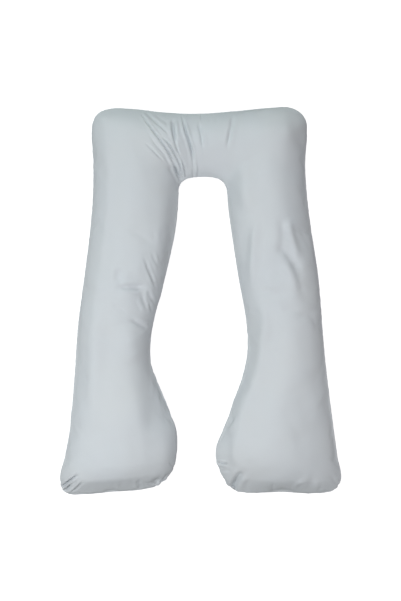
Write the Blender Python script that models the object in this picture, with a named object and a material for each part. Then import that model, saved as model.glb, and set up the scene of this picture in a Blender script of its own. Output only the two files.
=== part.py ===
"""A U-shaped body pillow, lying on its back on a flat surface.

Metres, +Z up. The origin is on the surface, under the middle of the pillow's box. +Y points
to the head end, where a crossbar joins the two legs, and the legs run towards -Y.
One filled cover: a front and a back panel, sewn together along one seam that runs all round.
"""

from collections import namedtuple

import bpy
import numpy as np

# Driving dimensions
WIDTH = 1.200  # across the two feet, seam to seam
LENGTH = 1.656  # from the head end to the soles, seam to seam
LOFT = 0.214  # the thickness a leg would have if nothing pressed it flat
SEAM_HEIGHT = 0.075  # of a leg's side seam above the surface
SOLE_ROUND = 0.130  # the length over which a foot rounds down to its sole seam
SIDE_FULLNESS = 0.54  # exponent of a rib's profile: 0.5 is an ellipse, more is a sharper seam
REST_ROLL = 0.012  # how softly the underside rolls up from the part pressed flat

# Mesh sizes
RINGS = 112  # spans along the U, from sole to sole
SPANS = 16  # spans of one panel, from outer seam to inner seam
SOLE_RINGS = 6  # of the rings, those in each foot's rounding

# A rib is a straight line across the panels, from the outer seam to the inner seam. The ribs run
# from the left sole, up the left leg, along the crossbar and down the right leg.
# loft is the rib's thickness as a share of LOFT.
Rib = namedtuple("Rib", "place outer_x outer_y inner_x inner_y loft")
RIBS = [
    Rib("left sole", -0.589, -0.804, -0.150, -0.764, 1.00),
    Rib("left toes", -0.600, -0.755, -0.118, -0.712, 1.03),
    Rib("left foot", -0.578, -0.655, -0.1005, -0.635, 1.08),
    Rib("left instep", -0.560, -0.550, -0.104, -0.550, 1.07),
    Rib("left ankle", -0.549, -0.430, -0.143, -0.430, 1.02),
    Rib("left calf", -0.541, -0.330, -0.190, -0.330, 0.97),
    Rib("left shin", -0.534, -0.220, -0.216, -0.220, 0.95),
    Rib("left knee", -0.523, -0.090, -0.203, -0.090, 0.96),
    Rib("left thigh", -0.498, 0.105, -0.152, 0.105, 0.98),
    Rib("left hip", -0.470, 0.310, -0.106, 0.290, 1.00),
    Rib("left waist", -0.460, 0.450, -0.094, 0.390, 1.01),
    Rib("left flank", -0.4585, 0.590, -0.092, 0.450, 1.01),
    Rib("left shoulder", -0.466, 0.710, -0.089, 0.482, 1.00),
    Rib("left corner low", -0.461, 0.765, -0.081, 0.502, 0.99),
    Rib("left corner", -0.437, 0.801, -0.070, 0.514, 0.97),
    Rib("left corner high", -0.395, 0.821, -0.057, 0.521, 0.95),
    Rib("left of crossbar", -0.295, 0.825, -0.038, 0.526, 0.91),
    Rib("middle left", -0.160, 0.8085, -0.015, 0.529, 0.87),
    Rib("middle", 0.000, 0.805, 0.010, 0.530, 0.85),
    Rib("middle right", 0.150, 0.8145, 0.035, 0.529, 0.87),
    Rib("right of crossbar", 0.280, 0.8255, 0.060, 0.5255, 0.91),
    Rib("right corner high", 0.376, 0.829, 0.080, 0.516, 0.95),
    Rib("right corner", 0.420, 0.811, 0.095, 0.503, 0.97),
    Rib("right corner low", 0.448, 0.773, 0.102, 0.488, 0.99),
    Rib("right shoulder", 0.458, 0.715, 0.107, 0.467, 1.00),
    Rib("right flank", 0.451, 0.590, 0.111, 0.438, 1.01),
    Rib("right waist", 0.455, 0.450, 0.114, 0.390, 1.01),
    Rib("right hip", 0.472, 0.310, 0.129, 0.290, 1.00),
    Rib("right thigh", 0.502, 0.110, 0.160, 0.105, 0.98),
    Rib("right knee", 0.521, -0.090, 0.195, -0.090, 0.96),
    Rib("right shin", 0.532, -0.220, 0.199, -0.215, 0.95),
    Rib("right calf", 0.543, -0.330, 0.176, -0.330, 0.97),
    Rib("right ankle", 0.555, -0.430, 0.138, -0.430, 1.02),
    Rib("right instep", 0.570, -0.550, 0.093, -0.550, 1.07),
    Rib("right foot", 0.584, -0.655, 0.062, -0.640, 1.08),
    Rib("right toes", 0.600, -0.755, 0.081, -0.724, 1.03),
    Rib("right sole", 0.586, -0.798, 0.110, -0.778, 1.00),
]

# Each sole's seam, between the ends of its rib
SolePoint = namedtuple("SolePoint", "x y")
LEFT_SOLE = [
    SolePoint(-0.557, -0.823),
    SolePoint(-0.500, -0.8265),
    SolePoint(-0.384, -0.817),
    SolePoint(-0.260, -0.805),
    SolePoint(-0.190, -0.789),
]
RIGHT_SOLE = [
    SolePoint(0.140, -0.805),
    SolePoint(0.200, -0.821),
    SolePoint(0.345, -0.8165),
    SolePoint(0.480, -0.822),
    SolePoint(0.550, -0.8155),
]

CLOTH_COLOUR = (0.60, 0.64, 0.67, 1.0)
CLOTH_ROUGHNESS = 0.85


def spline(points, at):
    """Points on the centripetal Catmull-Rom curve through the given points.

    at is in spans, so 2.5 is half way between the third and the fourth point.
    """
    points = np.asarray(points, float)
    before = 2 * points[:1] - points[1:2]
    after = 2 * points[-1:] - points[-2:-1]
    knots = np.concatenate([before, points, after])
    steps = np.linalg.norm(np.diff(knots, axis=0), axis=1) ** 0.5
    span = np.clip(np.floor(at).astype(int), 0, len(points) - 2)
    share = (at - span)[:, None]
    p0, p1, p2, p3 = (knots[span + k] for k in range(4))
    d0, d1, d2 = (steps[span + k][:, None] for k in range(3))
    start = (p2 - p1) + d1 * ((p1 - p0) / d0 - (p2 - p0) / (d0 + d1))
    finish = (p2 - p1) + d1 * ((p3 - p2) / d2 - (p3 - p1) / (d1 + d2))
    cubic = 2 * (p1 - p2) + start + finish
    square = 3 * (p2 - p1) - 2 * start - finish
    return ((cubic * share + square) * share + start) * share + p1


def step_lengths(points):
    """The length of each step of a polyline."""
    return np.linalg.norm(np.diff(points, axis=0), axis=1)


def summed(steps):
    """How far along a polyline each of its points lies, from its steps."""
    return np.concatenate([[0], np.cumsum(steps)])


def ring_places():
    """Where each ring lies along the U, in spans between ribs, and how far it is from the sole.

    Rings are even along whichever seam is the longer there, so that both corners of the crossbar
    stay round. In a foot's rounding they close up towards the sole by the cosine rule.
    """
    fine = np.linspace(0, len(RIBS) - 1, 40 * len(RIBS))
    outer = step_lengths(spline([(r.outer_x, r.outer_y) for r in RIBS], fine))
    inner = step_lengths(spline([(r.inner_x, r.inner_y) for r in RIBS], fine))
    along = summed(np.maximum(outer, inner))
    turn = np.linspace(0, np.pi / 2, SOLE_RINGS + 1)
    rounding = SOLE_ROUND * (1 - np.cos(turn))
    middle = np.linspace(SOLE_ROUND, along[-1] - SOLE_ROUND, RINGS - 2 * SOLE_RINGS + 1)
    distance = np.concatenate([rounding[:-1], middle, (along[-1] - rounding[:-1])[::-1]])
    place = np.interp(distance, along, fine)
    return place, np.minimum(distance, distance[::-1])


def sole_seam(start, sole, finish, across):
    """The seam of one sole, at the given shares of the way across it."""
    knots = [start, *sole, finish]
    fine = spline(knots, np.linspace(0, len(knots) - 1, 40 * len(knots)))
    along = summed(step_lengths(fine))
    x = np.interp(across * along[-1], along, fine[:, 0])
    y = np.interp(across * along[-1], along, fine[:, 1])
    return np.stack([x, y], axis=1)


def flat_panel(place, to_sole, across):
    """The outline of both panels filled in: rings by spans of x and y.

    Each ring is a straight rib, and near a sole it takes up the sole's own curve.
    """
    outer = spline([(r.outer_x, r.outer_y) for r in RIBS], place)
    inner = spline([(r.inner_x, r.inner_y) for r in RIBS], place)
    share = across[None, :, None]
    panel = outer[:, None] * (1 - share) + inner[:, None] * share
    left_bulge = sole_seam(outer[0], LEFT_SOLE, inner[0], across) - panel[0]
    right_bulge = sole_seam(inner[-1], RIGHT_SOLE, outer[-1], 1 - across) - panel[-1]
    fade = (np.clip(1 - to_sole / SOLE_ROUND, 0, 1) ** 2)[:, None, None]
    on_left = (place < len(RIBS) / 2)[:, None, None]
    return panel + fade * np.where(on_left, left_bulge[None], right_bulge[None])


def filled_heights(place, to_sole, across):
    """The heights of the front panel and of the back panel, which rests on the surface.

    Each is the seam's height, plus or minus half the loft times a rib profile that is nearly an
    ellipse. The surface then presses the back panel flat, and REST_ROLL rounds that flat's edge.
    """
    loft = spline([(r.loft, number) for number, r in enumerate(RIBS)], place)[:, 0]
    rounding = np.sqrt(1 - np.clip(1 - to_sole / SOLE_ROUND, 0, 1) ** 2)
    profile = (1 - (1 - 2 * across) ** 2) ** SIDE_FULLNESS
    half = (LOFT / 2 * loft * rounding)[:, None] * profile
    seam = SEAM_HEIGHT * loft[:, None]
    free = seam - half
    rolled = np.clip(free + REST_ROLL, 0, None) ** 2 / (4 * REST_ROLL)
    back = np.where(free > REST_ROLL, free, rolled)
    return seam + half, back


def triangles(rings, spans):
    """Two triangles for each cell of a panel, split so that no triangle has three seam points."""
    ring, span = np.meshgrid(np.arange(rings), np.arange(spans), indexing="ij")
    ring, span = ring.ravel(), span.ravel()
    a = ring * (spans + 1) + span
    b, c, d = a + 1, a + spans + 2, a + spans + 1
    falling = ((ring < rings / 2) == (span < spans / 2))[:, None]
    first = np.where(falling, np.stack([a, b, c], axis=1), np.stack([a, b, d], axis=1))
    second = np.where(falling, np.stack([a, c, d], axis=1), np.stack([b, c, d], axis=1))
    return np.concatenate([first, second])


def pillow_mesh():
    """The closed skin of the pillow: points, and triangles that face outward."""
    place, to_sole = ring_places()
    across = (1 - np.cos(np.linspace(0, np.pi, SPANS + 1))) / 2
    panel = flat_panel(place, to_sole, across)
    low, high = panel.min(axis=(0, 1)), panel.max(axis=(0, 1))
    panel = (panel - (low + high) / 2) * np.array([WIDTH, LENGTH]) / (high - low)
    front, back = filled_heights(place, to_sole, across)
    count = front.size
    numbers = np.arange(count).reshape(front.shape)
    inside = np.zeros(front.shape, bool)
    inside[1:-1, 1:-1] = True
    back_numbers = numbers.copy()
    back_numbers[inside] = count + np.arange(inside.sum())
    front_points = np.concatenate([panel, front[:, :, None]], axis=2).reshape(-1, 3)
    back_points = np.concatenate([panel, back[:, :, None]], axis=2)[inside]
    faces = triangles(RINGS, SPANS)
    back_faces = back_numbers.ravel()[faces][:, ::-1]
    return np.concatenate([front_points, back_points]), np.concatenate([faces, back_faces])


def cloth_material():
    """The plain cover cloth."""
    material = bpy.data.materials.new("cover_cloth")
    material.use_nodes = True
    shader = material.node_tree.nodes["Principled BSDF"]
    shader.inputs["Base Color"].default_value = CLOTH_COLOUR
    shader.inputs["Roughness"].default_value = CLOTH_ROUGHNESS
    return material


def main():
    for thing in list(bpy.data.objects):
        bpy.data.objects.remove(thing)
    points, faces = pillow_mesh()
    mesh = bpy.data.meshes.new("pillow")
    mesh.from_pydata(points.tolist(), [], faces.tolist())
    mesh.update()
    mesh.materials.append(cloth_material())
    pillow = bpy.data.objects.new("pillow", mesh)
    bpy.context.scene.collection.objects.link(pillow)


main()
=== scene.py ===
"""The looks of a U-shaped body pillow: a plain cotton cover, filled and lying on its back.

Metres, +Z up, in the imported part's own frame. The cover is one mesh of a front and a back panel
that meet at a seam all round. It is laid out on straight ribs as thick as its filling, and gets
its turned seam, rolls and creases, the filling's lumps, and the small wrinkles of a cover that
Blender's cloth has blown up.
"""

from collections import namedtuple

import bpy
import numpy as np
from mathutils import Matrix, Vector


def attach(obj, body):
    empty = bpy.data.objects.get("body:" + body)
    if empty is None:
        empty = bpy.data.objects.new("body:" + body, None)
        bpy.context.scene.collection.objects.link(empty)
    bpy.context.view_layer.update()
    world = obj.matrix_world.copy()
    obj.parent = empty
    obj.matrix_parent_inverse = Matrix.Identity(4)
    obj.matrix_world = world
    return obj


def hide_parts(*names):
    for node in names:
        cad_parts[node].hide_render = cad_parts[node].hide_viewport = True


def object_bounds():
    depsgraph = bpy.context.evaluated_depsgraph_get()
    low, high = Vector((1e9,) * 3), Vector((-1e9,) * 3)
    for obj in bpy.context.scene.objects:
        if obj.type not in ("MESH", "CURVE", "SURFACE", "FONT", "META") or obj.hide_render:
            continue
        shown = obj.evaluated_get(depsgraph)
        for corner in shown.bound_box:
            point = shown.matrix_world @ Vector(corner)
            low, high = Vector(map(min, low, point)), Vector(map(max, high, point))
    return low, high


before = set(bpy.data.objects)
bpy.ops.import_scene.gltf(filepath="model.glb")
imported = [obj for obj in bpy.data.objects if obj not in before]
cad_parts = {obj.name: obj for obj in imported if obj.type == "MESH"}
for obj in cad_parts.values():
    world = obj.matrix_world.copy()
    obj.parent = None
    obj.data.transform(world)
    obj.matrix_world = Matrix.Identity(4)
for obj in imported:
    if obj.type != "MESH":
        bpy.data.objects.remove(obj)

CAD_LOW, CAD_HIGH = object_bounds()

# Driving dimensions of the filled cover
LOFT = 0.214  # the thickness a leg would have if nothing pressed it flat
SEAM_HEIGHT = 0.075  # of a leg's side seam above the surface
SOLE_ROUND = 0.130  # the length over which a foot rounds down to its sole seam
SOLE_BANDS = (0.062, 0.052)  # the left and right foot's nearly straight part of that rounding
SOLE_BENDS = (0.034, 0.060)  # how softly each bends there, as a share of the loft
REST_ROLL = 0.012  # how softly the underside rolls up from the part pressed flat

# Mesh sizes
RINGS = 640  # spans along the U, from sole to sole
SPANS = 100  # spans of the front panel, from outer seam to inner seam
SOLE_RINGS = 38  # of the rings, those in each foot's rounding
BACK_STEP = 2  # the front panel's spans to one of the back panel's
LEG_WIDTH, LEG_EDGE = 0.36, 0.56  # of the typical leg that the spans are spaced for
SEAM_CROWDING = 0.75  # 0 spaces the spans evenly along its profile, near 1 crowds them at a seam
PROFILE_STEPS = 2000  # of that profile, where its length is measured
CURVE_STEPS = 40  # to a span of a seam's curve, likewise

# The turned seam, which the two panels' edges meet in
SEAM_TUCK = 0.0028  # how deep the stitch line lies between the panels' lips
SEAM_TUCK_WIDTH = 0.0028
SEAM_LIP = 0.0010  # how far each lip stands proud
SEAM_LIP_PLACE = 0.0065  # from the stitch line to the middle of a lip
SEAM_LIP_WIDTH = 0.6  # how broad a lip is, as a share of that
SEAM_OUTSET = (0.0003, 0.0015)  # how far the stitch line lies outside the pillow's own box
PUCKER = 0.0008  # how high the small gathers beside the stitch line are
PUCKER_REACH, PUCKER_FALL = 0.014, 1.3  # how far they run into a panel, and how steeply they end
PUCKER_START = 0.003  # they rise over this distance from the stitch line
PUCKER_WAVES = (0.0170, 0.0240, 0.0350, 0.0500)  # the lengths of their waves
PUCKER_SWELL = 6.3  # each wave swells and dies over so many of its lengths
PUCKER_DRIFT = 31  # how fast its phase wanders, in radians to a metre
PUCKER_SEED = 5
SEAM_STARTS = (0.0, 5.3, 11.9, 13.6)  # of the outer, inner, left sole's and right sole's gathers

# The inflation: the cover is blown up as cloth, with its seam drawn in by its thread
CLOTH_RINGS = 440
CLOTH_SPANS = 40
CLOTH_SOLE_RINGS = 14
CLOTH_FRAMES = 12
SEAM_DRAW = 0.022  # the share by which the thread shortens the seam
SWELL_RINGS, SWELL_SPANS = 6, 4  # a move broader than this is the cover's swelling, not a wrinkle
WRINKLE_CAP = 0.005  # how far a wrinkle may move the cloth
WRINKLE_REACH = 0.070  # the front's wrinkles fade over this distance from the seam
WRINKLE_REST = 0.22  # to this share
SEAM_CALM = 0.022  # over this distance they fade towards the seam as well, on both panels
SEAM_SLIP = 0.25  # to this share

# The uneven filling, as broad low lumps under the cloth
LUMP_HEIGHT = 0.0007
LUMP_WAVES = (0.055, 0.200)  # the shortest and the longest
LUMP_COUNT = 40
LUMP_SEED = 11
LUMP_CALM = 0.040  # the lumps fade over this distance towards the seam
BACK_LUMPS = 2.0  # where on the same pattern the back panel's lumps are read

# The cloth
BACK_LAID = 3.0  # how far beside the front panel the back panel is laid out
THREADS = 2200.0  # to a metre, each way
THREAD_HEIGHT = 0.00006
YARN_SCALE, YARN_STRETCH = 900.0, 0.03  # of the noise in a yarn, across it and the share along it
COTTON_COOL = (0.596, 0.643, 0.684, 1)
COTTON_WARM = (0.616, 0.653, 0.674, 1)
YARN_SHADE = (0.589, 0.630, 0.661, 1)

# The studio
FLOOR_REACH = 6.0
STUDIO_GLOW = 0.90  # of the floor and the backdrop, as the camera sees them
CAMERA_DISTANCE = 3.2
CAMERA_X, CAMERA_Y = -0.0018, 0.0013
VIEW_HEIGHT = 2.567  # of the frame, at the seam's height
SENSOR_WIDTH = 36.0

# A rib is a straight line across the panels, from the outer seam to the inner seam. The ribs run
# from the left sole, up the left leg, along the crossbar and down the right leg. loft is the
# rib's thickness as a share of LOFT. The edges are the exponents of its profile on each side: 0.5
# is an ellipse, and more is a sharper seam. rings is how closely the rings lie there.
Rib = namedtuple("Rib", "place outer_x outer_y inner_x inner_y loft outer_edge inner_edge rings")
RIBS = [Rib(*row) for row in [
    ("left sole", -0.590, -0.805, -0.150, -0.764, 0.96, 0.60, 0.60, 1.5),
    ("left toes", -0.598, -0.755, -0.118, -0.712, 1.03, 0.60, 0.52, 1.6),
    ("left foot", -0.5765, -0.655, -0.1015, -0.635, 1.08, 0.60, 0.52, 1.0),
    ("left instep", -0.558, -0.550, -0.104, -0.550, 1.07, 0.66, 0.54, 0.8),
    ("left heel", -0.5535, -0.490, -0.1245, -0.490, 1.05, 0.70, 0.56, 0.8),
    ("left ankle", -0.548, -0.430, -0.147, -0.430, 1.02, 0.72, 0.56, 0.8),
    ("left calf", -0.541, -0.330, -0.190, -0.330, 0.97, 0.76, 0.60, 0.8),
    ("left low shin", -0.537, -0.275, -0.210, -0.275, 0.955, 0.78, 0.64, 0.8),
    ("left shin", -0.534, -0.220, -0.216, -0.220, 0.95, 0.78, 0.62, 0.9),
    ("left knee", -0.523, -0.090, -0.2025, -0.090, 0.98, 0.70, 0.62, 1.5),
    ("left thigh", -0.496, 0.105, -0.150, 0.105, 1.02, 0.70, 0.64, 1.5),
    ("left hip", -0.470, 0.310, -0.108, 0.290, 1.01, 0.64, 0.76, 1.0),
    ("left waist", -0.459, 0.450, -0.096, 0.390, 1.02, 0.58, 0.80, 0.8),
    ("left flank", -0.4575, 0.590, -0.0935, 0.450, 1.02, 0.58, 0.80, 0.8),
    ("left shoulder", -0.464, 0.710, -0.092, 0.482, 1.01, 0.66, 0.78, 1.0),
    ("left corner low", -0.460, 0.765, -0.083, 0.502, 0.99, 0.72, 0.72, 1.5),
    ("left corner", -0.437, 0.801, -0.071, 0.515, 0.97, 0.72, 0.72, 2.0),
    ("left corner high", -0.390, 0.8225, -0.057, 0.523, 0.95, 0.88, 0.70, 2.6),
    ("left of crossbar", -0.285, 0.8225, -0.038, 0.528, 0.91, 0.94, 0.68, 3.2),
    ("middle left", -0.160, 0.8085, -0.015, 0.531, 0.87, 0.94, 0.70, 3.2),
    ("middle", 0.000, 0.805, 0.010, 0.532, 0.85, 0.94, 0.72, 2.6),
    ("middle right", 0.150, 0.8145, 0.035, 0.531, 0.87, 0.88, 0.72, 1.8),
    ("right of crossbar", 0.280, 0.8255, 0.060, 0.5275, 0.91, 0.66, 0.74, 1.3),
    ("right corner high", 0.378, 0.828, 0.083, 0.517, 0.95, 0.62, 0.78, 1.3),
    ("right corner", 0.421, 0.809, 0.097, 0.504, 0.97, 0.64, 0.82, 1.3),
    ("right corner low", 0.449, 0.7725, 0.106, 0.488, 0.99, 0.64, 0.84, 1.3),
    ("right shoulder", 0.455, 0.715, 0.111, 0.467, 1.00, 0.76, 0.84, 1.0),
    ("right flank", 0.448, 0.590, 0.1135, 0.438, 1.01, 0.84, 0.84, 0.8),
    ("right waist", 0.455, 0.450, 0.1175, 0.390, 1.01, 0.84, 0.80, 0.9),
    ("right hip", 0.471, 0.310, 0.132, 0.290, 1.00, 0.76, 0.68, 1.4),
    ("right thigh", 0.501, 0.110, 0.161, 0.105, 0.98, 0.66, 0.62, 1.5),
    ("right knee", 0.518, -0.090, 0.195, -0.090, 0.96, 0.76, 0.68, 1.2),
    ("right shin", 0.530, -0.220, 0.199, -0.215, 0.95, 0.80, 0.76, 0.9),
    ("right calf", 0.542, -0.330, 0.1745, -0.330, 0.97, 0.84, 0.76, 0.8),
    ("right ankle", 0.554, -0.430, 0.137, -0.430, 1.02, 0.88, 0.72, 0.8),
    ("right heel", 0.5615, -0.490, 0.1175, -0.490, 1.05, 0.88, 0.70, 0.8),
    ("right instep", 0.569, -0.550, 0.093, -0.550, 1.07, 0.90, 0.70, 0.8),
    ("right foot", 0.584, -0.655, 0.063, -0.640, 1.08, 0.90, 0.74, 1.0),
    ("right toes", 0.600, -0.755, 0.081, -0.724, 0.95, 0.84, 0.70, 1.6),
    ("right sole", 0.585, -0.796, 0.110, -0.778, 0.84, 0.66, 0.60, 1.5),
]]

# Each sole's seam, between the ends of its rib, as x and y
LEFT_SOLE = [(-0.560, -0.823), (-0.500, -0.8265), (-0.384, -0.817), (-0.260, -0.8065), (-0.190, -0.789)]
RIGHT_SOLE = [(0.140, -0.805), (0.200, -0.821), (0.345, -0.8185), (0.480, -0.8240), (0.560, -0.8135)]

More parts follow.
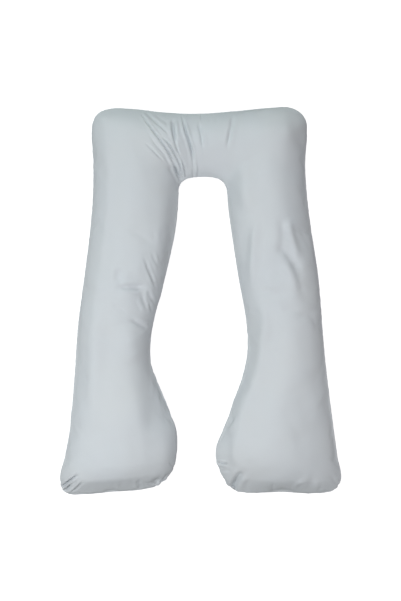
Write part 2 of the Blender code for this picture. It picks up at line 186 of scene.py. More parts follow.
# A crease is a trough along a smooth curve through its spots, with a low soft ridge on each side.
# Lengths are in millimetres. depth and width are the trough's, and a negative depth makes a ridge.
# start and finish are the shares of the depth at its ends. left and right are as seen from above.
Crease = namedtuple("Crease", "name depth width start finish spots")
CREASE_LIP = 0.3  # a side ridge's height, as a share of the depth
CREASE_LIP_PLACE, CREASE_LIP_WIDTH = 2.1, 1.4  # where it lies and how broad it is, in widths
CREASE_REACH = 5  # how many widths away a crease is felt
CREASE_FADE = 0.3  # the share of its length over which each end fades
CREASE_STEPS = 12  # to a spot of its curve
CREASES = [Crease(*row) for row in [
    # the rolls where the filled crown turns down to a seam, and the hollows and swells beside them
    ("left inner roll", -4.8, 45, 0.2, 0.2,
     [(-181, 470), (-182, 292), (-199, 58), (-238, -107), (-254, -244), (-265, -390), (-261, -510)]),
    ("left inner hollow", 10.5, 46, 0.2, 0.2, [(-203, -300), (-205, -430), (-203, -580)]),
    ("left instep hollow", 8.6, 44, 0.2, 0.2, [(-174, -350), (-152, -465), (-132, -570)]),
    ("left inner groove", 6.2, 22, 0.2, 0.2, [(-104, 500), (-119, 350), (-136, 200), (-164, 70)]),
    ("left toe swell", -3.2, 25, 0.2, 0.2, [(-151, -560), (-141, -640), (-151, -695)]),
    ("left thigh roll", -3, 20, 0.6, 0.3,
     [(-405, 770), (-398, 690), (-385, 490), (-398, 292), (-431, 60)]),
    ("left outer roll", -9, 33, 0.2, 0.2, [(-431, 60), (-444, -100), (-449, -300), (-463, -500)]),
    ("right arch roll", -11, 31, 0.3, 0.1, [(175, 590), (182, 470), (191, 350)]),
    ("right groin roll", -9, 18, 0.2, 0.2, [(228, 330), (220, 250), (215, 160), (213, 60)]),
    ("right knee roll", -5.5, 19, 0.2, 0.2, [(240, 2), (264, -45), (270, -100), (256, -165)]),
    ("right inner roll", -9.8, 28, 0.1, 0.2,
     [(237, 0), (249, -60), (254, -110), (253, -195), (241, -295), (203, -392), (169, -490),
      (155, -620), (157, -690)]),
    ("right instep roll", -4.5, 18, 0.2, 0.2, [(150, -560), (140, -625), (142, -700)]),
    ("right corner hollow", 8, 42, 0.4, 0.2, [(398, 782), (412, 722), (426, 622)]),
    ("right corner swell", -9, 56, 0.4, 0.7, [(225, 722), (300, 704), (396, 702)]),
    ("right foot hollow", 10, 95, 0.2, 0.4, [(404, -260), (424, -450), (437, -670)]),
    # the fan that the crossbar's left half gathers into at the arch's left corner
    ("fan 1", 6.6, 4.2, 0.6, 0.2, [(-245, 777), (-200, 709), (-156, 649), (-119, 591), (-106, 555)]),
    ("fan 1 ridge", -1.6, 5, 0.2, 0.2, [(-216, 708), (-182, 660), (-146, 624)]),
    ("fan 2", 5, 5.4, 0.5, 0.2, [(-233, 796), (-194, 755), (-152, 711), (-136, 691)]),
    ("fan 3", 5.8, 4.2, 0.1, 0.5, [(-178, 686), (-140, 659), (-113, 620), (-91, 578), (-76, 527)]),
    ("fan 3 ridge", -1, 5, 0.1, 0.2, [(-157, 665), (-129, 631), (-106, 588), (-96, 568)]),
    ("fan 4", 1.6, 7, 0.4, 0.1, [(-202, 798), (-167, 764), (-131, 734)]),
    ("fan 5 head", 12, 6.6, 0.2, 0.4, [(-118, 758), (-114, 710), (-106, 667)]),
    ("fan 5", 4.8, 4, 0.5, 0.1, [(-111, 682), (-103, 643), (-89, 607)]),
    ("fan 6", 9.8, 4.8, 0.2, 0.1, [(-80, 779), (-65, 719), (-48, 664), (-37, 619), (-31, 565)]),
    ("fan 6 hollow", 4.4, 20, 0.3, 0.3, [(-62, 690), (-48, 640), (-38, 580)]),
    ("fan 7", 2, 4, 0.2, 0.8, [(-78, 587), (-67, 528)]),
    ("fan 7 ridge", -7, 3.4, 0.2, 0.6, [(-84, 589), (-70, 531)]),
    ("fan 8", 1.8, 4, 0.1, 0.8, [(-34, 558), (-33, 533)]),
    ("fan 8 ridge", -2, 5, 0.1, 0.6, [(-24, 588), (-19, 562), (-20, 533)]),
    ("fan 9", 1.2, 4, 0.1, 0.8, [(-12, 570), (-9, 534)]),
    ("fan low 1", 2.8, 4.4, 0.1, 0.2, [(-210, 681), (-184, 642), (-156, 613), (-144, 592)]),
    ("fan low 2", 4.1, 4.5, 0.1, 0.2, [(-230, 652), (-197, 623), (-161, 587)]),
    ("fan low 2 ridge", -1.8, 4, 0.1, 0.2, [(-200, 635), (-154, 586)]),
    ("fan low 3 ridge", -4, 4.4, 0.1, 0.2, [(-146, 619), (-117, 565)]),
    ("fan low 4", 1.8, 4, 0.1, 0.2, [(-154, 605), (-134, 570)]),
    ("arch corner", 13, 5, 0.2, 0.6, [(-110, 572), (-101, 548), (-85, 517)]),
    ("arch hollow", 10.4, 21, 0.3, 0.6, [(-131, 579), (-106, 539), (-84, 499)]),
    # the faint ones at and right of the middle
    ("middle hollow", 8, 60, 0.3, 0.3, [(-25, 790), (-20, 660), (-10, 545)]),
    ("middle 1", 5.6, 6, 0.1, 0.1, [(-12, 756), (2, 689), (7, 635)]),
    ("middle 1 ridge", -1.2, 8, 0.1, 0.1, [(-29, 729), (-17, 644)]),
    ("middle 2", 1.2, 6, 0.1, 0.1, [(38, 784), (35, 745)]),
    ("middle 3", 1.2, 6, 0.1, 0.1, [(67, 783), (65, 745)]),
    ("middle 4", 7.4, 7, 0.2, 0.1, [(136, 792), (125, 720), (109, 633)]),
    ("middle 4 ridge", -1.2, 6, 0.2, 0.1, [(137, 791), (119, 704)]),
    ("middle 5", 1, 5, 0.2, 0.1, [(148, 791), (125, 671)]),
    # the right leg's broad folds and the weak ones round its knee
    ("right fold 1", 9, 21, 0.7, 0.3, [(334, 211), (351, 201), (371, 180), (392, 149), (404, 115)]),
    ("right fold 1 low", 2.2, 15, 0.3, 0.2, [(390, 138), (402, 100), (413, 60), (430, 22)]),
    ("right fold 1 ridge", -7.2, 25, 0.2, 0.3, [(334, 162), (370, 118), (388, 66), (391, 34)]),
    ("right fold 2 ridge", -5, 15, 0, 0.3,
     [(356, 348), (370, 293), (384, 242), (394, 200), (401, 163)]),
    ("right fold 3", 3.2, 15, 0.1, 0.8, [(334, 350), (337, 284), (336, 224)]),
    ("right fold 4", 1.3, 10, 0.1, 0.1, [(414, 312), (463, 209)]),
    ("right flank ridge 1", -0.9, 4, 0.1, 0.1, [(388, 479), (450, 376)]),
    ("right flank ridge 2", -0.9, 4, 0.1, 0.1, [(409, 489), (465, 404)]),
    ("right knee dip", 5, 16, 0.1, 0.1, [(243, 56), (281, 40), (350, 28)]),
    ("right knee dip 2", 3.5, 20, 0.2, 0.2, [(320, -28), (400, -45), (468, -72)]),
    ("right calf", 2.8, 14, 0.1, 0.1, [(443, -49), (494, -113)]),
    # the left leg's knee, which is pulled together at its inner side
    ("left knee arc", 3.1, 15, 0.1, 0.2, [(-315, 297), (-251, 273), (-197, 227)]),
    ("left thigh hollow", 2, 45, 0.2, 0.2, [(-201, 480), (-206, 300)]),
    ("left knee swell", -3, 26, 0.2, 0.2, [(-259, 92), (-254, 160), (-259, 215)]),
    ("left shin swell", -11.3, 48, 0.2, 0.2, [(-298, -90), (-295, -180), (-283, -270)]),
    ("left fold 1", 9, 3.5, 0.1, 0.1, [(-237, 180), (-218, 126), (-192, 52)]),
    ("left fold 2", 3, 4.6, 0.1, 0.1, [(-224, 51), (-212, 14), (-195, -16)]),
    ("left fold 2 ridge", -1, 5, 0.1, 0.1, [(-215, 57), (-196, 2)]),
    ("left fold 2 low ridge", -1.6, 4.5, 0.1, 0.1, [(-232, 51), (-231, 10), (-218, -45)]),
    ("left fold 3", 3.4, 4.3, 0.1, 0.1, [(-249, 30), (-238, -2), (-224, -40)]),
    ("left fold 3 ridge", -2.2, 5, 0.1, 0.1, [(-263, 12), (-242, -45)]),
    ("left fold 4", 4, 4, 0.1, 0.1, [(-221, -8), (-209, -45)]),
    ("left fold 5", 2.4, 4.5, 0.1, 0.1, [(-207, 206), (-188, 147)]),
    ("left fold 5 ridge", -2.4, 4.5, 0.1, 0.1, [(-195, 193), (-181, 162)]),
    ("left fold 5 low ridge", -2, 4.5, 0.1, 0.1, [(-201, 164), (-188, 129)]),
    ("left fold 6", 1.6, 5, 0.1, 0.1, [(-204, 296), (-191, 255)]),
    ("left fold 6 ridge", -1.2, 9, 0.1, 0.1, [(-182, 311), (-181, 229)]),
    ("left knee dip", 11, 10, 0.3, 0.2, [(-338, 56), (-290, 55), (-240, 53)]),
    ("left knee hollow", 4, 28, 0.8, 0.1, [(-255, 58), (-243, 20), (-225, -28)]),
    ("left knee side", 7.5, 16, 0.1, 0.1, [(-338, 140), (-338, 70)]),
    ("left shin 1", 6.4, 8, 0.1, 0.1, [(-294, -74), (-257, -98), (-224, -115)]),
    ("left shin 2", 2.4, 7, 0.1, 0.1, [(-374, -6), (-308, -50)]),
    # the left foot's corners and sole
    ("left heel 1", 23, 3.9, 0.7, 0.1, [(-583, -786), (-542, -748), (-512, -721)]),
    ("left heel 2", 14.6, 4.5, 0.9, 0.1, [(-575, -804), (-547, -771)]),
    ("left heel ridge", -4.2, 6, 0.8, 0.1, [(-556, -805), (-505, -757)]),
    ("left heel 3", 8.6, 3.6, 0.6, 0.1, [(-541, -803), (-490, -751)]),
    ("left toe dimple", 8.4, 11.5, 0.6, 0.3, [(-197, -765), (-172, -756)]),
    ("left toe ridge", -4, 4.5, 0.7, 0.1, [(-183, -784), (-166, -749)]),
    ("left toe 1", 4.7, 4.5, 0.8, 0.1, [(-166, -769), (-155, -746), (-143, -730)]),
    ("left toe 2", 8.2, 4.5, 0.3, 0.5, [(-230, -760), (-192, -785)]),
    ("left toe 3", 3.2, 4, 0.8, 0.1, [(-115, -712), (-136, -671)]),
    ("left sole 1", 2.5, 4.5, 0.8, 0.1, [(-369, -802), (-363, -743)]),
    ("left sole 2", -2.2, 4, 0.8, 0.1, [(-358, -802), (-351, -741)]),
    ("left sole 3", 2.2, 4.5, 0.8, 0.1, [(-330, -798), (-327, -742)]),
    ("left sole 4", 2.2, 4, 0.8, 0.1, [(-292, -793), (-291, -738)]),
    ("left sole 5", -1.8, 4, 0.8, 0.1, [(-278, -791), (-278, -744)]),
    ("left sole 6", 6.2, 4.5, 0.8, 0.1, [(-259, -790), (-263, -740)]),
    ("left sole 7", 1.8, 5, 0.8, 0.1, [(-423, -802), (-422, -750)]),
    ("left sole 8", 1.8, 5, 0.8, 0.1, [(-471, -806), (-462, -760)]),
    # the right foot's corners and sole
    ("right toe 1", 18, 10.5, 0.8, 0.1, [(134, -808), (155, -746), (176, -711)]),
    ("right toe 2", 19, 4, 0.8, 0.1, [(81, -689), (108, -687)]),
    ("right toe 3", 2.9, 5, 0.7, 0.1, [(93, -722), (126, -711)]),
    ("right instep fold", 6, 7, 0.6, 0.2, [(104, -538), (122, -520), (143, -488)]),
    ("right sole 1", 2.9, 6, 0.7, 0.1, [(191, -805), (198, -743)]),
    ("right sole 2", 4.7, 4, 0.8, 0.1, [(300, -806), (291, -759)]),
    ("right sole 2 ridge", -3.2, 4, 0.8, 0.1, [(291, -807), (283, -760)]),
    ("right sole 3", 3.2, 5, 0.8, 0.1, [(315, -806), (306, -749)]),
    ("right sole 4", 1.8, 6, 0.7, 0.1, [(341, -803), (328, -732)]),
    ("right sole 5", 2.5, 5, 0.6, 0.1, [(383, -801), (381, -746)]),
    ("right sole ridge", -3.4, 6, 0.7, 0.1, [(395, -797), (401, -774), (432, -745)]),
    ("right sole 6", 2.5, 5, 0.8, 0.3, [(403, -810), (414, -772)]),
    ("right sole hollow", 4.4, 15, 0.4, 0.3, [(458, -785), (466, -739)]),
    ("right sole 7", 2.5, 5, 0.7, 0.1, [(502, -813), (505, -760)]),
    ("right heel", 2.2, 6, 0.7, 0.1, [(583, -786), (545, -737)]),
]]

# The same on the back panel
BACK_CREASES = [Crease(*row) for row in [
    ("left arch 1", 3, 6, 0.5, 0.1, [(-86, 505), (-140, 590), (-210, 680)]),
    ("left arch 2", 2.4, 5, 0.5, 0.1, [(-60, 525), (-85, 610), (-130, 700)]),
    ("right arch 1", 2.8, 6, 0.5, 0.1, [(96, 500), (140, 580), (205, 660)]),
    ("right arch 2", 2, 5, 0.5, 0.1, [(75, 520), (95, 600), (130, 680)]),
    ("left heel", 2.6, 6, 0.7, 0.1, [(-584, -798), (-545, -755), (-515, -715)]),
    ("left toe", 2.6, 6, 0.7, 0.1, [(-140, -755), (-180, -720), (-215, -690)]),
    ("right heel", 2.6, 6, 0.7, 0.1, [(584, -795), (548, -750), (520, -715)]),
    ("right toe", 2.6, 6, 0.7, 0.1, [(105, -770), (145, -730), (175, -695)]),
    ("left knee", 2.4, 10, 0.6, 0.1, [(-214, -200), (-270, -190), (-330, -200)]),
    ("right knee", 2.4, 10, 0.6, 0.1, [(200, -150), (260, -160), (320, -150)]),
]]


# ---- curves and grids ----


def spline(points, at):
    """Points on the centripetal Catmull-Rom curve through the given points.

    at is in spans, so 2.5 is half way between the third and the fourth point.
    """
    points = np.asarray(points, float)
    before = 2 * points[:1] - points[1:2]
    after = 2 * points[-1:] - points[-2:-1]
    knots = np.concatenate([before, points, after])
    steps = np.linalg.norm(np.diff(knots, axis=0), axis=1) ** 0.5
    span = np.clip(np.floor(at).astype(int), 0, len(points) - 2)
    share = (at - span)[:, None]
    p0, p1, p2, p3 = (knots[span + k] for k in range(4))
    d0, d1, d2 = (steps[span + k][:, None] for k in range(3))
    start = (p2 - p1) + d1 * ((p1 - p0) / d0 - (p2 - p0) / (d0 + d1))
    finish = (p2 - p1) + d1 * ((p3 - p2) / d2 - (p3 - p1) / (d1 + d2))
    cubic = 2 * (p1 - p2) + start + finish
    square = 3 * (p2 - p1) - 2 * start - finish
    return ((cubic * share + square) * share + start) * share + p1


def step_lengths(points):
    """The length of each step of a polyline."""
    return np.linalg.norm(np.diff(points, axis=0), axis=1)


def summed(steps):
    """How far along a polyline each of its points lies, from its steps."""
    return np.concatenate([[0], np.cumsum(steps)])


def soft_step(x):
    """0 below 0, 1 above 1, and the smooth cubic between."""
    x = np.clip(x, 0, 1)
    return x * x * (3 - 2 * x)


def rib_ends(place):
    """The outer and the inner seam at the given places along the U, in spans between ribs."""
    outer = spline([(r.outer_x, r.outer_y) for r in RIBS], place)
    inner = spline([(r.inner_x, r.inner_y) for r in RIBS], place)
    return outer, inner


def ring_places(rings, sole_rings):
    """Where each ring lies along the U, in spans between ribs, and how far it is from the sole.

    Rings are spaced along whichever seam is the longer there, and closer where the table says.
    In a foot's rounding they close up towards the sole, as one less the cosine of an even turn.
    """
    fine = np.linspace(0, len(RIBS) - 1, CURVE_STEPS * len(RIBS))
    outer, inner = rib_ends(fine)
    along = summed(np.maximum(step_lengths(outer), step_lengths(inner)))
    turn = np.linspace(0, np.pi / 2, sole_rings + 1)
    rounding = SOLE_ROUND * (1 - np.cos(turn))
    close = np.interp(fine, np.arange(len(RIBS)), [r.rings for r in RIBS])
    counted = summed((close[1:] + close[:-1]) / 2 * np.diff(along))
    low, high = np.interp([SOLE_ROUND, along[-1] - SOLE_ROUND], along, counted)
    middle = np.linspace(low, high, rings - 2 * sole_rings + 1)
    middle = np.interp(middle, counted, along)
    distance = np.concatenate([rounding[:-1], middle, (along[-1] - rounding[:-1])[::-1]])
    place = np.interp(distance, along, fine)
    return place, np.minimum(distance, distance[::-1])


def sole_seam(start, sole, finish, across):
    """The seam of one sole, at the given shares of the way across it."""
    knots = [start, *sole, finish]
    fine = spline(knots, np.linspace(0, len(knots) - 1, CURVE_STEPS * len(knots)))
    along = summed(step_lengths(fine))
    return np.stack([np.interp(across * along[-1], along, column) for column in fine.T], axis=1)


def flat_panel(place, to_sole, across):
    """The outline of both panels filled in: rings by spans of x and y.

    Each ring is a straight rib. Near a sole it takes up the sole's curve, by its nearness squared.
    """
    outer, inner = rib_ends(place)
    share = across[None, :, None]
    panel = outer[:, None] * (1 - share) + inner[:, None] * share
    left_bulge = sole_seam(outer[0], LEFT_SOLE, inner[0], across) - panel[0]
    right_bulge = sole_seam(inner[-1], RIGHT_SOLE, outer[-1], 1 - across) - panel[-1]
    fade = (np.clip(1 - to_sole / SOLE_ROUND, 0, 1) ** 2)[:, None, None]
    on_left = (place < len(RIBS) / 2)[:, None, None]
    return panel + fade * np.where(on_left, left_bulge, right_bulge)


def sole_rounding(to_sole, sole_band, sole_bend):
    """The loft's share at each distance from a sole: a quarter ellipse, but straight near the seam.

    The straight part is the ellipse's chord over the band. The two meet in the branch of a
    hyperbola, whose softness grows over the band up to the bend.
    """
    reach = np.clip(to_sole / SOLE_ROUND, 0, 1)
    band = sole_band / SOLE_ROUND
    curve = np.sqrt(1 - (1 - reach) ** 2)
    chord = np.sqrt(1 - (1 - band) ** 2) * reach / band
    bend = sole_bend * np.clip(reach / band, 0, 1)
    return (chord + curve - np.sqrt((chord - curve) ** 2 + 4 * bend**2)) / 2


def filled_heights(place, to_sole, across):
    """The heights of the front panel and of the back panel, which rests on the surface.

    Each is the seam's height, plus or minus half the loft times a rib profile that is nearly an
    ellipse, with each side's own exponent. Each foot rounds down to its sole. The surface then
    presses the back panel flat, and REST_ROLL rounds that flat's edge.
    """
    loft = spline([(r.loft, number) for number, r in enumerate(RIBS)], place)[:, 0]
    on_left = place < len(RIBS) / 2
    rounding = sole_rounding(to_sole, np.where(on_left, *SOLE_BANDS), np.where(on_left, *SOLE_BENDS))
    edges = spline([(r.outer_edge, r.inner_edge, number) for number, r in enumerate(RIBS)], place)
    inner_share = soft_step(across[None])
    edge = edges[:, :1] * (1 - inner_share) + edges[:, 1:2] * inner_share
    profile = (1 - (1 - 2 * across[None]) ** 2) ** edge
    half = (LOFT / 2 * loft * rounding)[:, None] * profile
    seam = SEAM_HEIGHT * loft[:, None]
    free = seam - half
    rolled = np.clip(free + REST_ROLL, 0, None) ** 2 / (4 * REST_ROLL)
    back = np.where(free > REST_ROLL, free, rolled)
    return seam + half, back


def span_shares(spans):
    """Shares of the way across a rib, that are nearly even along its curved profile.

    They are read off the length of a typical leg's profile. A sine crowds them at each seam, for its
    tuck and lips.
    """
    fine = (1 - np.cos(np.linspace(0, np.pi, PROFILE_STEPS + 1))) / 2
    height = LOFT / 2 * (1 - (1 - 2 * fine) ** 2) ** LEG_EDGE
    along = summed(step_lengths(np.stack([fine * LEG_WIDTH, height], axis=1)))
    even = np.linspace(0, 1, spans + 1)
    crowded = even - SEAM_CROWDING * np.sin(2 * np.pi * even) / (2 * np.pi)
    return np.interp(crowded * along[-1], along, fine)


def panel_points(rings, sole_rings, spans):
    """Both panels as grids of points, ring by span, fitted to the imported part's own box."""
    place, to_sole = ring_places(rings, sole_rings)
    shares = span_shares(spans)
    plan = flat_panel(place, to_sole, shares)
    low, high = plan.min(axis=(0, 1)), plan.max(axis=(0, 1))
    box_low, box_high = np.array(CAD_LOW)[:2] - SEAM_OUTSET, np.array(CAD_HIGH)[:2] + SEAM_OUTSET
    plan = (plan - (low + high) / 2) * (box_high - box_low) / (high - low) + (box_low + box_high) / 2
    front, back = filled_heights(place, to_sole, shares)
    front = np.concatenate([plan, front[:, :, None]], axis=2)
    back = np.concatenate([plan, back[:, :, None]], axis=2)
    return front, back


def linked(name, data):
    """A new object in the scene."""
    thing = bpy.data.objects.new(name, data)
    bpy.context.scene.collection.objects.link(thing)
    return thing


def back_numbering(rings, spans, step):
    """The vertex number of each point of the back panel's grid, which has every step-th span.

    Points on the seam are the front panel's own. Those inside follow after the front panel's.
    """
    numbers = np.arange((rings + 1) * (spans + 1)).reshape(rings + 1, spans + 1)[:, ::step].copy()
    inside = np.zeros(numbers.shape, bool)
    inside[1:-1, 1:-1] = True
    numbers[inside] = (rings + 1) * (spans + 1) + np.arange(inside.sum())
    return numbers, inside


def vertex_values(mesh, label):
    """The position or normal of each vertex."""
    values = np.zeros(len(mesh.vertices) * 3, np.float32)
    mesh.vertices.foreach_get(label, values)
    return values.reshape(-1, 3)


def grid_quads(numbers):
    """The four corners of each cell of a grid of vertex numbers."""
    corners = [numbers[:-1, :-1], numbers[:-1, 1:], numbers[1:, 1:], numbers[1:, :-1]]
    return np.stack(corners, axis=-1)


def cover_mesh(name, front, back, step):
    """One closed mesh of both panels. The back panel has every step-th span of the front's.

    Where the back panel's wide cells meet a sole, they take in the seam's extra points too.
    """
    rings, spans = front.shape[0] - 1, front.shape[1] - 1
    front_numbers = np.arange((rings + 1) * (spans + 1)).reshape(rings + 1, spans + 1)
    numbers, inside = back_numbering(rings, spans, step)
    points = np.concatenate([front.reshape(-1, 3), back[:, ::step][inside]])
    faces = grid_quads(front_numbers).reshape(-1, 4).tolist()
    back_quads = grid_quads(numbers)[:, :, ::-1]
    if step == 1:
        faces += back_quads.reshape(-1, 4).tolist()
    else:
        faces += back_quads[1:-1].reshape(-1, 4).tolist()
        first, last = front_numbers[0, 1::step], front_numbers[-1, 1::step]
        near, far = back_quads[0], back_quads[-1]
        faces += np.insert(near, 3, first, axis=1).tolist()
        faces += np.insert(far, 1, last, axis=1).tolist()
    mesh = bpy.data.meshes.new(name)
    mesh.from_pydata(points.tolist(), [], faces)
    mesh.update()
    return mesh


# ---- inflation ----


def resampled(grid, at, axis):
    """The grid read at fractional places along one axis, by the uniform Catmull-Rom cubic."""
    grid = np.moveaxis(grid, axis, 0)
    last = len(grid) - 1
    cell = np.clip(np.floor(at).astype(int), 0, last - 1)
    share = (at - cell).reshape(-1, *([1] * (grid.ndim - 1)))
    p0, p1 = grid[np.clip(cell - 1, 0, last)], grid[cell]
    p2, p3 = grid[cell + 1], grid[np.clip(cell + 2, 0, last)]
    bend = (p2 - p0) + share * (2 * p0 - 5 * p1 + 4 * p2 - p3 + share * (3 * (p1 - p2) + p3 - p0))
    return np.moveaxis(p1 + 0.5 * share * bend, 0, axis)


def blurred(grid, spread, axis):
    """The grid averaged along one axis with a bell of the given spread, in cells."""
    reach = int(3 * spread) + 1
    bell = np.exp(-0.5 * (np.arange(-reach, reach + 1) / spread) ** 2)
    bell /= bell.sum()
    pad = [(0, 0)] * grid.ndim
    pad[axis] = (reach, reach)
    padded = np.pad(grid, pad, mode="reflect", reflect_type="odd")
    total = np.zeros_like(grid)
    for offset, weight in enumerate(bell):
        part = [slice(None)] * grid.ndim
        part[axis] = slice(offset, offset + grid.shape[axis])
        total += weight * padded[tuple(part)]
    return total


def small_moves(before, after):
    """The wrinkles in a panel's move: what is left of it without its broad swelling, and capped."""
    moved = after - before
    wrinkle = moved - blurred(blurred(moved, SWELL_RINGS, 0), SWELL_SPANS, 1)
    size = np.linalg.norm(wrinkle, axis=2, keepdims=True)
    return wrinkle * (WRINKLE_CAP * np.tanh(size / WRINKLE_CAP) / np.maximum(size, 1e-9))


def inflate(front, back):
    """Blows the closed cover up with Blender's cloth, and gives each panel's wrinkles.

    The seam's thread is shorter than the panels' edges, so the edges gather as it swells.
    """
    blank = linked("cover_blank", cover_mesh("cover_blank", front, back, 1))
    numbers, inside = back_numbering(front.shape[0] - 1, front.shape[1] - 1, 1)
    thread = blank.vertex_groups.new(name="thread")
    thread.add(numbers[~inside].tolist(), 1.0, "REPLACE")
    cloth = blank.modifiers.new("Cloth", "CLOTH")
    cotton = cloth.settings
    cotton.quality = 5
    cotton.mass = 0.15
    cotton.air_damping = 5
    cotton.tension_stiffness = 15
    cotton.compression_stiffness = 15
    cotton.shear_stiffness = 5
    cotton.bending_stiffness = 0.2
    cotton.use_pressure = True
    cotton.uniform_pressure_force = 3
    cotton.effector_weights.gravity = 0
    cotton.vertex_group_shrink = "thread"
    cotton.shrink_min = 0
    cotton.shrink_max = SEAM_DRAW
    cloth.collision_settings.use_collision = False
    scene = bpy.context.scene
    scene.frame_start, scene.frame_end = 1, CLOTH_FRAMES
    cloth.point_cache.frame_start, cloth.point_cache.frame_end = 1, CLOTH_FRAMES
    for step in range(1, CLOTH_FRAMES + 1):
        scene.frame_set(step)
    blown = blank.evaluated_get(bpy.context.evaluated_depsgraph_get()).data
    points = vertex_values(blown, "co").astype(float)
    bpy.data.objects.remove(blank)
    scene.frame_set(1)
    front_blown = points[: front.shape[0] * front.shape[1]].reshape(front.shape)
    return small_moves(front, front_blown), small_moves(back, points[numbers])


def wrinkles_at(place, shares):
    """The front and back panels' wrinkles at the given ring places and shares across a rib."""
    cloth_place = ring_places(CLOTH_RINGS, CLOTH_SOLE_RINGS)[0]
    cloth_shares = span_shares(CLOTH_SPANS)
    ring = np.interp(place, cloth_place, np.arange(CLOTH_RINGS + 1))
    span = np.interp(shares, cloth_shares, np.arange(CLOTH_SPANS + 1))
    panels = inflate(*panel_points(CLOTH_RINGS, CLOTH_SOLE_RINGS, CLOTH_SPANS))
    return [resampled(resampled(panel, ring, 0), span, 1) for panel in panels]


# ---- seam and creases ----


def cloth_lengths(panel, axis):
    """How far along the cloth each point of a panel is, from a sole (axis 0) or outer seam (1)."""
    steps = np.linalg.norm(np.diff(panel, axis=axis), axis=2)
    first = np.zeros_like(np.take(steps, [0], axis))
    return np.concatenate([first, np.cumsum(steps, axis=axis)], axis=axis)


def seam_distances(panel):
    """How far each point of a panel is from its seams, along the cloth, and along which seam.

    Gives the distance to the outer seam, the inner seam and the nearer sole, and the place along
    each of those seams, each as a grid. The places start apart, so that no two seams gather alike.
    """
    outer, along = cloth_lengths(panel, 1), cloth_lengths(panel, 0)
    inner, sole = outer[:, -1:] - outer, np.minimum(along, along[-1:] - along)
    left_sole = (np.arange(len(panel)) < len(panel) / 2)[:, None]
    on_outer = SEAM_STARTS[0] + along[:, :1] + np.zeros_like(outer)
    on_inner = SEAM_STARTS[1] + along[:, -1:] + np.zeros_like(outer)
    on_sole = np.where(left_sole, *SEAM_STARTS[2:]) + outer[:1]
    return (outer, inner, sole), (on_outer, on_inner, on_sole)


def from_seam(panel):
    """How far each point of a panel is from its nearest seam."""
    distances = seam_distances(panel)[0]
    return np.minimum(np.minimum(distances[0], distances[1]), distances[2])


def gathers(along):
    """The height of the small gathers at each place along a seam, about -1 to 1, uneven."""
    random = np.random.default_rng(PUCKER_SEED)
    height = np.zeros_like(along)
    for wave in PUCKER_WAVES:
        phase, slow, late = random.uniform(0, 2 * np.pi, 3)
        swell = 0.5 + 0.5 * np.sin(2 * np.pi * along / (wave * PUCKER_SWELL) + slow)
        drift = np.sin(along * PUCKER_DRIFT + late)
        height += swell * np.sin(2 * np.pi * along / wave + phase + drift)
    return height / 2


def seam_relief(panel):
    """How far the turned seam moves each point of a panel out along its normal.

    The stitch line is a bell-shaped tuck, each side of it a bell-shaped lip, and small gathers
    run from it into the panel and die away.
    """
    distances, places = seam_distances(panel)
    nearest = from_seam(panel)
    relief = -SEAM_TUCK * np.exp(-((nearest / SEAM_TUCK_WIDTH) ** 2))
    relief += SEAM_LIP * np.exp(-(((nearest / SEAM_LIP_PLACE - 1) / SEAM_LIP_WIDTH) ** 2))
    for distance, place in zip(distances, places):
        fade = np.exp(-((distance / PUCKER_REACH) ** PUCKER_FALL))
        relief += PUCKER * gathers(place) * fade * soft_step(distance / PUCKER_START)
    return relief


def crease_relief(plan, creases):
    """How far the creases move each point out along its normal, from its x and y.

    A crease is a bell-shaped trough across its curve, with a wider and lower bell beside it on
    each side. Its depth swells smoothly from its start and falls to its finish.
    """
    relief = np.zeros(plan.shape[:-1])
    for crease in creases:
        depth, width = crease.depth / 1000, crease.width / 1000
        spots = np.array(crease.spots) / 1000
        curve = spline(spots, np.linspace(0, len(spots) - 1, CREASE_STEPS * len(spots)))
        reach = CREASE_REACH * width
        near = np.all((plan > curve.min(0) - reach) & (plan < curve.max(0) + reach), axis=-1)
        points = plan[near]
        start, run = curve[:-1], np.diff(curve, axis=0)
        length = np.linalg.norm(run, axis=1)
        offset = points[:, None] - start[None]
        share = np.clip((offset * run).sum(-1) / length**2, 0, 1)
        foot = offset - share[..., None] * run
        distance = np.linalg.norm(foot, axis=-1)
        nearest = distance.argmin(1)
        row = np.arange(len(points))
        across = distance[row, nearest]
        along = (summed(length)[nearest] + share[row, nearest] * length[nearest]) / length.sum()
        swell = crease.start + (1 - crease.start) * soft_step(along / CREASE_FADE)
        fall = crease.finish + (1 - crease.finish) * soft_step((1 - along) / CREASE_FADE)
        trough = -np.exp(-((across / width) ** 2))
        lips = np.exp(-(((across / width - CREASE_LIP_PLACE) / CREASE_LIP_WIDTH) ** 2))
        relief[near] += depth * swell * fall * (trough + CREASE_LIP * lips)
    return relief


# ---- the cover ----


def cloth_map(front, back):
    """Where each point lies on the flat cloth, in metres, for the weave to follow.

    A rib's middle keeps its x and y, and its other points lie on the rib's own line at their
    distance along the cloth.
    """
    laid = []
    for panel in (front, back):
        from_outer = cloth_lengths(panel, 1)
        outer, inner = panel[:, :1, :2], panel[:, -1:, :2]
        line = (inner - outer) / np.linalg.norm(inner - outer, axis=2, keepdims=True)
        away = from_outer - from_outer[:, -1:] / 2
        laid.append((outer + inner) / 2 + line * away[:, :, None])
    return laid


def lumps(plan):
    """The filling's lumps at each x and y: many weak plane waves of random direction and phase."""
    random = np.random.default_rng(LUMP_SEED)
    height = np.zeros(plan.shape[:-1])
    for _ in range(LUMP_COUNT):
        wave = LUMP_WAVES[0] * (LUMP_WAVES[1] / LUMP_WAVES[0]) ** random.random()
        turn, phase = random.uniform(0, 2 * np.pi, 2)
        along = plan @ (np.cos(turn), np.sin(turn))
        height += wave / LUMP_WAVES[1] * np.sin(2 * np.pi * along / wave + phase)
    return LUMP_HEIGHT * height / height.std()


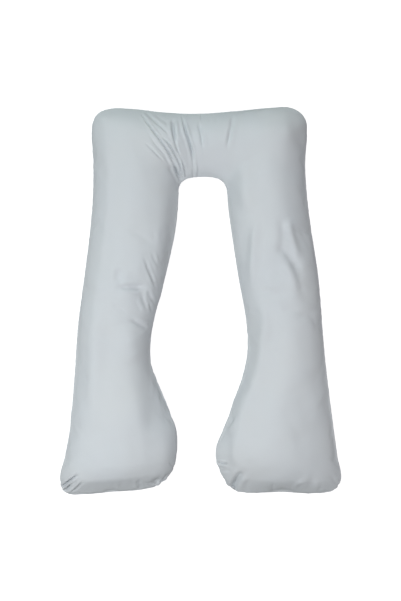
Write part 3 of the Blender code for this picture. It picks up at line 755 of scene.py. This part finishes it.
def wrinkle_moves(near_front, near_back):
    """How far the blown-up cover's wrinkles move each point of the front and of the back panel.

    The front's fade away from the seam, and both panels' are calmer right beside it.
    """
    place = ring_places(RINGS, SOLE_RINGS)[0]
    wrinkle, back_wrinkle = wrinkles_at(place, span_shares(SPANS))
    near = np.stack([near_front, near_back])
    calm = SEAM_SLIP + (1 - SEAM_SLIP) * soft_step(near / SEAM_CALM)
    fade = WRINKLE_REST + (1 - WRINKLE_REST) * np.exp(-((near_front / WRINKLE_REACH) ** 2))
    return wrinkle * (fade * calm[0])[:, :, None], back_wrinkle * calm[1][:, :, None]


def build_cover():
    """The finished cover as an object."""
    front, back = panel_points(RINGS, SOLE_RINGS, SPANS)
    near_front, near_back = from_seam(front), from_seam(back)
    numbers, inside = back_numbering(RINGS, SPANS, BACK_STEP)
    mesh = cover_mesh("pillow_cover", front, back, BACK_STEP)
    relief = seam_relief(front) + crease_relief(front[..., :2], CREASES)
    relief += lumps(front[..., :2]) * soft_step(near_front / LUMP_CALM)
    back_relief = seam_relief(back) + crease_relief(back[..., :2], BACK_CREASES)
    back_relief += lumps(back[..., :2] + BACK_LUMPS) * soft_step(near_back / LUMP_CALM)
    relief = np.concatenate([relief.ravel(), back_relief[:, ::BACK_STEP][inside]])
    points = np.concatenate([front.reshape(-1, 3), back[:, ::BACK_STEP][inside]])
    points = points + vertex_values(mesh, "normal") * relief[:, None]
    wrinkle, back_wrinkle = wrinkle_moves(near_front, near_back)
    points += np.concatenate([wrinkle.reshape(-1, 3), back_wrinkle[:, ::BACK_STEP][inside]])
    points[:, 2] = np.maximum(points[:, 2], 0)

    mesh.vertices.foreach_set("co", points.astype(np.float32).ravel())
    mesh.polygons.foreach_set("use_smooth", np.ones(len(mesh.polygons), bool))
    mesh.update()
    lay_out_cloth(mesh, front, back, numbers)
    return linked("pillow_cover", mesh)


def lay_out_cloth(mesh, front, back, numbers):
    """Gives the mesh a UV map in metres on the flat cloth, with the back panel laid beside the front.

    A corner on the seam belongs to whichever panel its face is in, and the front's faces come first.
    """
    front_laid, back_laid = cloth_map(front, back)
    by_front = front_laid.reshape(-1, 2)
    by_back = np.zeros((len(mesh.vertices), 2))
    by_back[: len(by_front)] = back_laid.reshape(-1, 2)
    by_back[numbers.ravel()] = back_laid[:, ::BACK_STEP].reshape(-1, 2)
    corners = np.zeros(len(mesh.loops), np.int32)
    mesh.loops.foreach_get("vertex_index", corners)
    in_front = np.arange(len(corners)) < RINGS * SPANS * 4
    shared = np.minimum(corners, len(by_front) - 1)
    laid = np.where(in_front[:, None], by_front[shared], by_back[corners] + (BACK_LAID, 0.0))
    layer = mesh.uv_layers.new(name="flat_cloth")
    layer.data.foreach_set("uv", laid.astype(np.float32).ravel())


# ---- materials ----


def node_group(name, inputs, outputs):
    """An empty shader node group with float inputs (name, value) and typed outputs (name, type).

    Its first input is a vector called Place.
    """
    group = bpy.data.node_groups.new(name, "ShaderNodeTree")
    group.interface.new_socket("Place", in_out="INPUT", socket_type="NodeSocketVector")
    for label, value in inputs:
        socket = group.interface.new_socket(label, in_out="INPUT", socket_type="NodeSocketFloat")
        socket.default_value = value
    for label, kind in outputs:
        group.interface.new_socket(label, in_out="OUTPUT", socket_type=kind)
    return group, group.nodes.new("NodeGroupInput"), group.nodes.new("NodeGroupOutput")


def feed(tree, socket, value):
    """Links a socket to another, or sets it to a plain value."""
    if isinstance(value, bpy.types.NodeSocket):
        tree.links.new(value, socket)
    else:
        socket.default_value = value


def set_inputs(node, **values):
    """Sets a node's inputs, with _ for each space in a name."""
    for label, value in values.items():
        node.inputs[label.replace("_", " ")].default_value = value


def calculate(tree, operation, *values):
    """A Math node's result."""
    node = tree.nodes.new("ShaderNodeMath")
    node.operation = operation
    for socket, value in zip(node.inputs, values):
        feed(tree, socket, value)
    return node.outputs["Value"]


def stretched(tree, place, *scales):
    """A place scaled along its axes."""
    node = tree.nodes.new("ShaderNodeVectorMath")
    node.operation = "MULTIPLY"
    feed(tree, node.inputs[0], place)
    node.inputs[1].default_value = scales
    return node.outputs["Vector"]


def cloud(tree, place, scale, detail):
    """A noise texture's factor."""
    node = tree.nodes.new("ShaderNodeTexNoise")
    feed(tree, node.inputs["Vector"], place)
    feed(tree, node.inputs["Scale"], scale)
    node.inputs["Detail"].default_value = detail
    return node.outputs["Fac"]


def plain_weave():
    """Over-and-under threads as a height, and how thick the yarn is there as a shade.

    Across a warp thread the height is |sin|, and so it is across a weft thread. The product of
    the two sines says which of them lies on top. Long thin noise makes the yarns uneven.
    """
    inputs = [("Threads", 1000.0), ("Unevenness", 0.3)]
    outputs = [("Height", "NodeSocketFloat"), ("Shade", "NodeSocketFloat")]
    group, given, result = node_group("plain_weave", inputs, outputs)
    split = group.nodes.new("ShaderNodeSeparateXYZ")
    group.links.new(given.outputs["Place"], split.inputs[0])
    turns = calculate(group, "MULTIPLY", given.outputs["Threads"], np.pi)
    warp = calculate(group, "SINE", calculate(group, "MULTIPLY", split.outputs["X"], turns))
    weft = calculate(group, "SINE", calculate(group, "MULTIPLY", split.outputs["Y"], turns))
    over = calculate(group, "MULTIPLY", warp, weft)
    above = calculate(group, "MULTIPLY_ADD", over, 0.5, 0.5)
    below = calculate(group, "MULTIPLY_ADD", over, -0.5, 0.5)
    warp_height = calculate(group, "MULTIPLY", calculate(group, "ABSOLUTE", warp), above)
    weft_height = calculate(group, "MULTIPLY", calculate(group, "ABSOLUTE", weft), below)
    threads = calculate(group, "MAXIMUM", warp_height, weft_height)
    warp_place = stretched(group, given.outputs["Place"], 1.0, YARN_STRETCH, 1.0)
    weft_place = stretched(group, given.outputs["Place"], YARN_STRETCH, 1.0, 1.0)
    warp_yarn = cloud(group, warp_place, YARN_SCALE, 2.0)
    weft_yarn = cloud(group, weft_place, YARN_SCALE, 2.0)
    yarn = calculate(group, "MULTIPLY_ADD", calculate(group, "ADD", warp_yarn, weft_yarn), 0.5, -0.5)
    uneven = calculate(group, "MULTIPLY", yarn, given.outputs["Unevenness"])
    group.links.new(calculate(group, "ADD", threads, uneven), result.inputs["Height"])
    group.links.new(calculate(group, "ADD", yarn, 0.5), result.inputs["Shade"])
    return group


def dye_cloud():
    """Broad faint patches, in which the dye took a little more or less."""
    inputs = [("Patches", 4.0)]
    group, given, result = node_group("dye_cloud", inputs, [("Share", "NodeSocketFloat")])
    patches = cloud(group, given.outputs["Place"], given.outputs["Patches"], 3.0)
    spread = group.nodes.new("ShaderNodeMapRange")
    set_inputs(spread, From_Min=0.3, From_Max=0.7)
    group.links.new(patches, spread.inputs["Value"])
    group.links.new(spread.outputs["Result"], result.inputs["Share"])
    return group


def new_material(name, **values):
    """A material with nodes, with the given inputs of its Principled shader."""
    material = bpy.data.materials.new(name)
    material.use_nodes = True
    shader = material.node_tree.nodes["Principled BSDF"]
    set_inputs(shader, **values)
    return material, material.node_tree, shader


def mixed(tree, share, first, second):
    """Two colours mixed."""
    node = tree.nodes.new("ShaderNodeMix")
    node.data_type = "RGBA"
    feed(tree, node.inputs["Factor"], share)
    feed(tree, node.inputs["A"], first)
    feed(tree, node.inputs["B"], second)
    return node.outputs["Result"]


def cotton():
    """The cover's pale blue-grey cotton: matt, with a fine plain weave and a slightly uneven dye."""
    material, tree, shader = new_material(
        "cotton", Roughness=0.85, Specular_IOR_Level=0.2, Sheen_Weight=0.03, Sheen_Roughness=0.5
    )
    cloth_place = tree.nodes.new("ShaderNodeUVMap")
    cloth_place.uv_map = "flat_cloth"
    weave = tree.nodes.new("ShaderNodeGroup")
    weave.node_tree = plain_weave()
    set_inputs(weave, Threads=THREADS)
    tree.links.new(cloth_place.outputs["UV"], weave.inputs["Place"])
    solid_place = tree.nodes.new("ShaderNodeTexCoord")
    dye = tree.nodes.new("ShaderNodeGroup")
    dye.node_tree = dye_cloud()
    tree.links.new(solid_place.outputs["Object"], dye.inputs["Place"])
    colour = mixed(tree, dye.outputs["Share"], COTTON_COOL, COTTON_WARM)
    colour = mixed(tree, weave.outputs["Shade"], colour, YARN_SHADE)
    tree.links.new(colour, shader.inputs["Base Color"])
    bump = tree.nodes.new("ShaderNodeBump")
    set_inputs(bump, Strength=0.5, Distance=THREAD_HEIGHT)
    tree.links.new(weave.outputs["Height"], bump.inputs["Height"])
    tree.links.new(bump.outputs["Normal"], shader.inputs["Normal"])
    return material


def camera_glow(tree):
    """The strength of a glow that only the camera sees, and that lights nothing."""
    rays = tree.nodes.new("ShaderNodeLightPath")
    return calculate(tree, "MULTIPLY", rays.outputs["Is Camera Ray"], STUDIO_GLOW)


def floor_paint():
    """Plain pale paint, which the studio shows as white."""
    grey, white = (0.4, 0.4, 0.4, 1), (1, 1, 1, 1)
    material, tree, shader = new_material(
        "floor_paint", Base_Color=grey, Roughness=0.9, Specular_IOR_Level=0.0, Emission_Color=white
    )
    tree.links.new(camera_glow(tree), shader.inputs["Emission Strength"])
    return material


# ---- stage, light and camera ----


def make_floor():
    """A plain square floor."""
    mesh = bpy.data.meshes.new("floor")
    corners = np.array([(-1, -1, 0), (1, -1, 0), (1, 1, 0), (-1, 1, 0)]) * FLOOR_REACH
    mesh.from_pydata(corners.tolist(), [], [(0, 1, 2, 3)])
    mesh.materials.append(floor_paint())
    floor = linked("floor", mesh)


# A softbox is a flat lamp that faces the middle of the pillow. The head's are a little cool, the
# right one and the foot's a little warm.
Softbox = namedtuple("Softbox", "name x y z width depth power colour")
SOFTBOXES = [Softbox(*row) for row in [
    ("left", -1.8, -0.62, 2.4, 1.4, 2.9, 60, (1.0, 1.0, 1.0)),
    ("head left", -1.8, 2.8, 2.4, 1.4, 1.4, 23, (0.91, 1.0, 0.985)),
    ("head right", -0.3, 2.8, 2.4, 1.4, 1.4, 7.5, (0.97, 1.0, 0.99)),
    ("low head", -0.35, 3.4, 0.9, 1.4, 1.4, 26, (0.91, 1.0, 0.97)),
    ("foot", 0.6, -1.6, 2.4, 1.4, 1.4, 8.2, (1.0, 0.97, 0.95)),
    ("low foot", 0.0, -3.4, 0.9, 1.4, 1.4, 9, (0.985, 1.0, 0.975)),
    ("right", 1.8, 0.0, 2.4, 1.4, 1.4, 31, (1.0, 0.965, 0.975)),
]]


def make_light():
    """A pale backdrop and the softboxes."""
    world = bpy.data.worlds.new("studio")
    world.use_nodes = True
    tree = world.node_tree
    backdrop = tree.nodes["Background"]
    set_inputs(backdrop, Color=(1, 1, 1, 1))
    tree.links.new(camera_glow(tree), backdrop.inputs["Strength"])
    bpy.context.scene.world = world
    for box in SOFTBOXES:
        data = bpy.data.lights.new("softbox_" + box.name, "AREA")
        data.shape = "RECTANGLE"
        data.size, data.size_y = box.width, box.depth
        data.energy = box.power
        data.color = box.colour
        light = linked("softbox_" + box.name, data)
        light.location = (box.x, box.y, box.z)
        light.rotation_euler = (-light.location).to_track_quat("-Z", "Y").to_euler()


def make_camera():
    """A camera straight above the pillow."""
    data = bpy.data.cameras.new("camera")
    data.sensor_width = SENSOR_WIDTH
    data.lens = SENSOR_WIDTH * CAMERA_DISTANCE / VIEW_HEIGHT
    camera = linked("camera", data)
    camera.location = (CAMERA_X, CAMERA_Y, CAMERA_DISTANCE + SEAM_HEIGHT)
    bpy.context.scene.camera = camera


def main():
    """The pillow's cover on its body in place of the imported part, with its floor, light and camera.
    """
    bpy.context.scene.view_settings.view_transform = "Standard"
    cover = build_cover()
    cover.data.materials.append(cotton())
    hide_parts("pillow")
    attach(cover, "root")
    make_floor()
    make_light()
    make_camera()


main()
